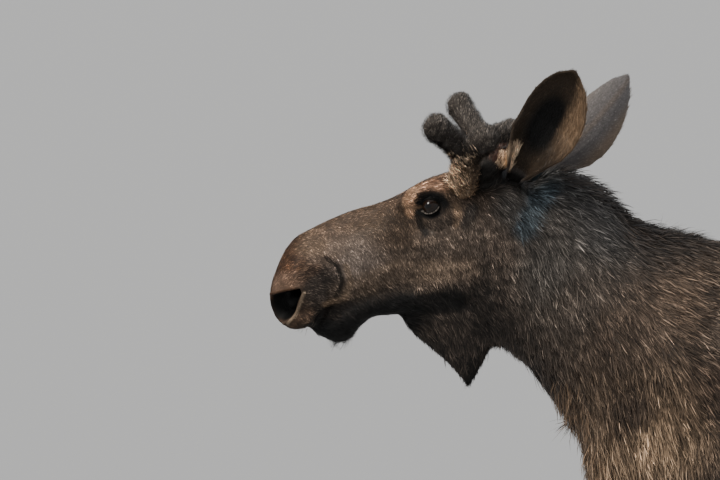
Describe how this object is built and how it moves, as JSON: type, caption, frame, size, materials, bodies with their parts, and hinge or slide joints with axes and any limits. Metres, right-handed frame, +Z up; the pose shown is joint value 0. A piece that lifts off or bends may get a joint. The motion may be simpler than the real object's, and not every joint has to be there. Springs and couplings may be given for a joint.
{
  "type": "moose",
  "caption": "Young bull moose standing still at life size, with a long overhanging muzzle, short forked antlers in velvet, upright ears, a throat bell and cloven hooves.",
  "frame": {"origin": "on the floor, under the middle of the whole moose's box", "axes": "+Z up, -Y the way the moose faces, +X towards its left side"},
  "size_m": [0.508, 2.3188, 2.1468],
  "materials": {
    "coat": "dense hair lying along the body, black-brown with tan-grey tips, orange-brown on the nose bridge and brow",
    "velvet": "short grey-brown fuzz standing on growing antlers, palest at the rim",
    "eye": "wet, clear and dark",
    "hoof": "worn horn, half matt, with fine rings of growth"
  },
  "bodies": {
    "root": {"barrel": "coat", "bell": "coat", "chest": "coat", "head": "coat", "left_antler_front_tine": "velvet", "left_antler_rear_tine": "velvet", "left_antler_stem": "velvet", "left_ear": "coat", "left_eye": "eye", "left_foreleg_dewclaw_inner": "hoof", "left_foreleg_dewclaw_outer": "hoof", "left_foreleg_hoof_inner": "hoof", "left_foreleg_hoof_outer": "hoof", "left_foreleg_lower": "coat", "left_foreleg_upper": "coat", "left_hindleg_dewclaw_inner": "hoof", "left_hindleg_dewclaw_outer": "hoof", "left_hindleg_hoof_inner": "hoof", "left_hindleg_hoof_outer": "hoof", "left_hindleg_lower": "coat", "left_hindleg_upper": "coat", "lower_jaw": "coat", "neck": "coat", "right_antler_front_tine": "velvet", "right_antler_rear_tine": "velvet", "right_antler_stem": "velvet", "right_ear": "coat", "right_eye": "eye", "right_foreleg_dewclaw_inner": "hoof", "right_foreleg_dewclaw_outer": "hoof", "right_foreleg_hoof_inner": "hoof", "right_foreleg_hoof_outer": "hoof", "right_foreleg_lower": "coat", "right_foreleg_upper": "coat", "right_hindleg_dewclaw_inner": "hoof", "right_hindleg_dewclaw_outer": "hoof", "right_hindleg_hoof_inner": "hoof", "right_hindleg_hoof_outer": "hoof", "right_hindleg_lower": "coat", "right_hindleg_upper": "coat", "rump": "coat", "tail": "coat"}
  },
  "joints": []
}
